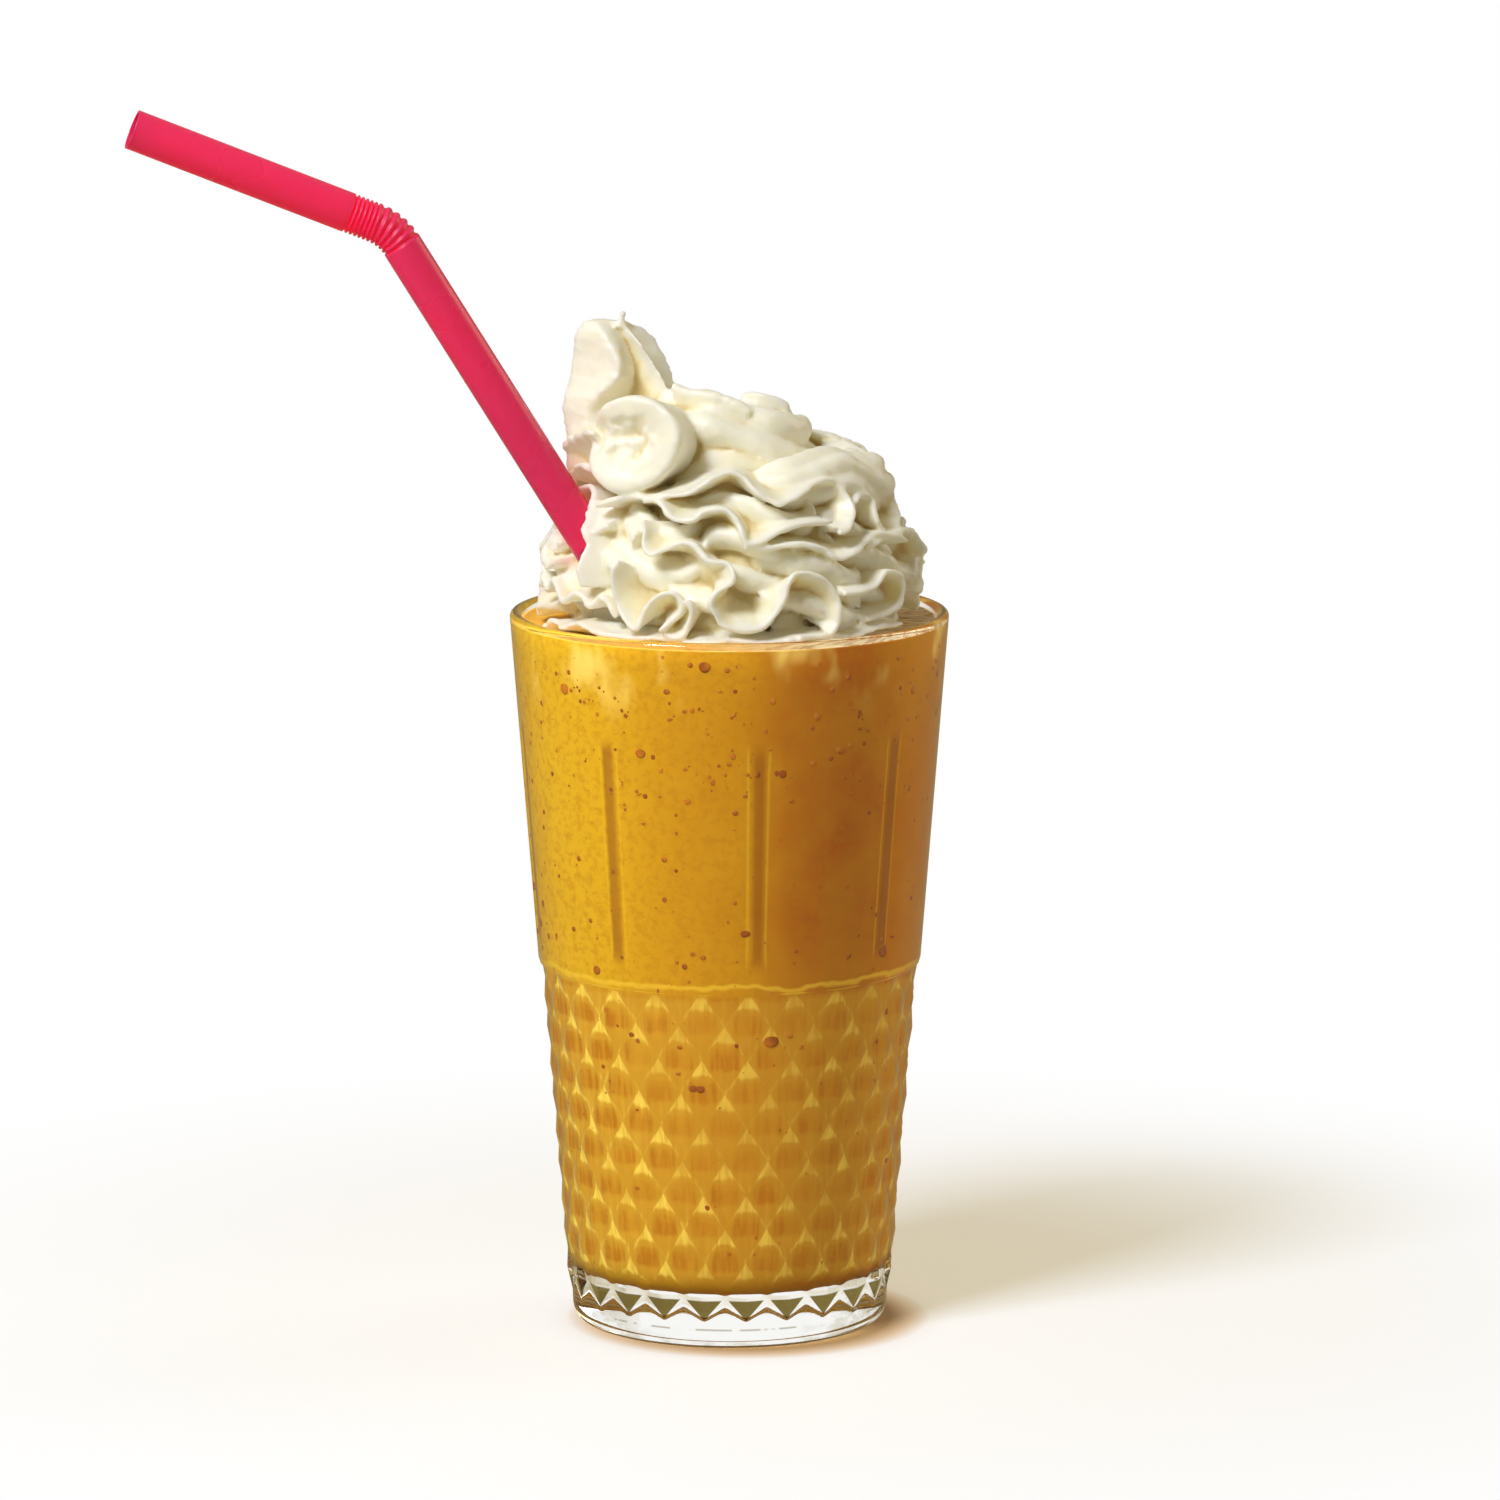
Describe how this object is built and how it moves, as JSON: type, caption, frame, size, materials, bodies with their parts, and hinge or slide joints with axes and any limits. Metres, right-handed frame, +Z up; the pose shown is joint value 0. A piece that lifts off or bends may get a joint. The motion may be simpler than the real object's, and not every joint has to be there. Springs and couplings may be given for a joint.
{
  "type": "mango frappe in a glass",
  "caption": "Mango frappe filling a tall pressed glass tumbler with a diamond band, topped with a ruffled swirl of whipped cream and a pink bendy straw.",
  "frame": {"origin": "centre of the underside of the glass, on the surface that it stands on", "axes": "+Z up the glass's axis, -Y towards the viewer's side, +X to the right, with the straw leaning to -X"},
  "size_m": [0.1532, 0.0832, 0.2344],
  "materials": {
    "glass": "clear pressed glass",
    "drink": "opaque ochre mango frappe with small bubbles",
    "cream": "soft satin warm white whipped cream",
    "straw": "glossy hot pink plastic, slightly translucent"
  },
  "bodies": {
    "root": {"glass": "glass", "drink": "drink", "whipped_cream": "cream", "straw": "straw"}
  },
  "joints": []
}
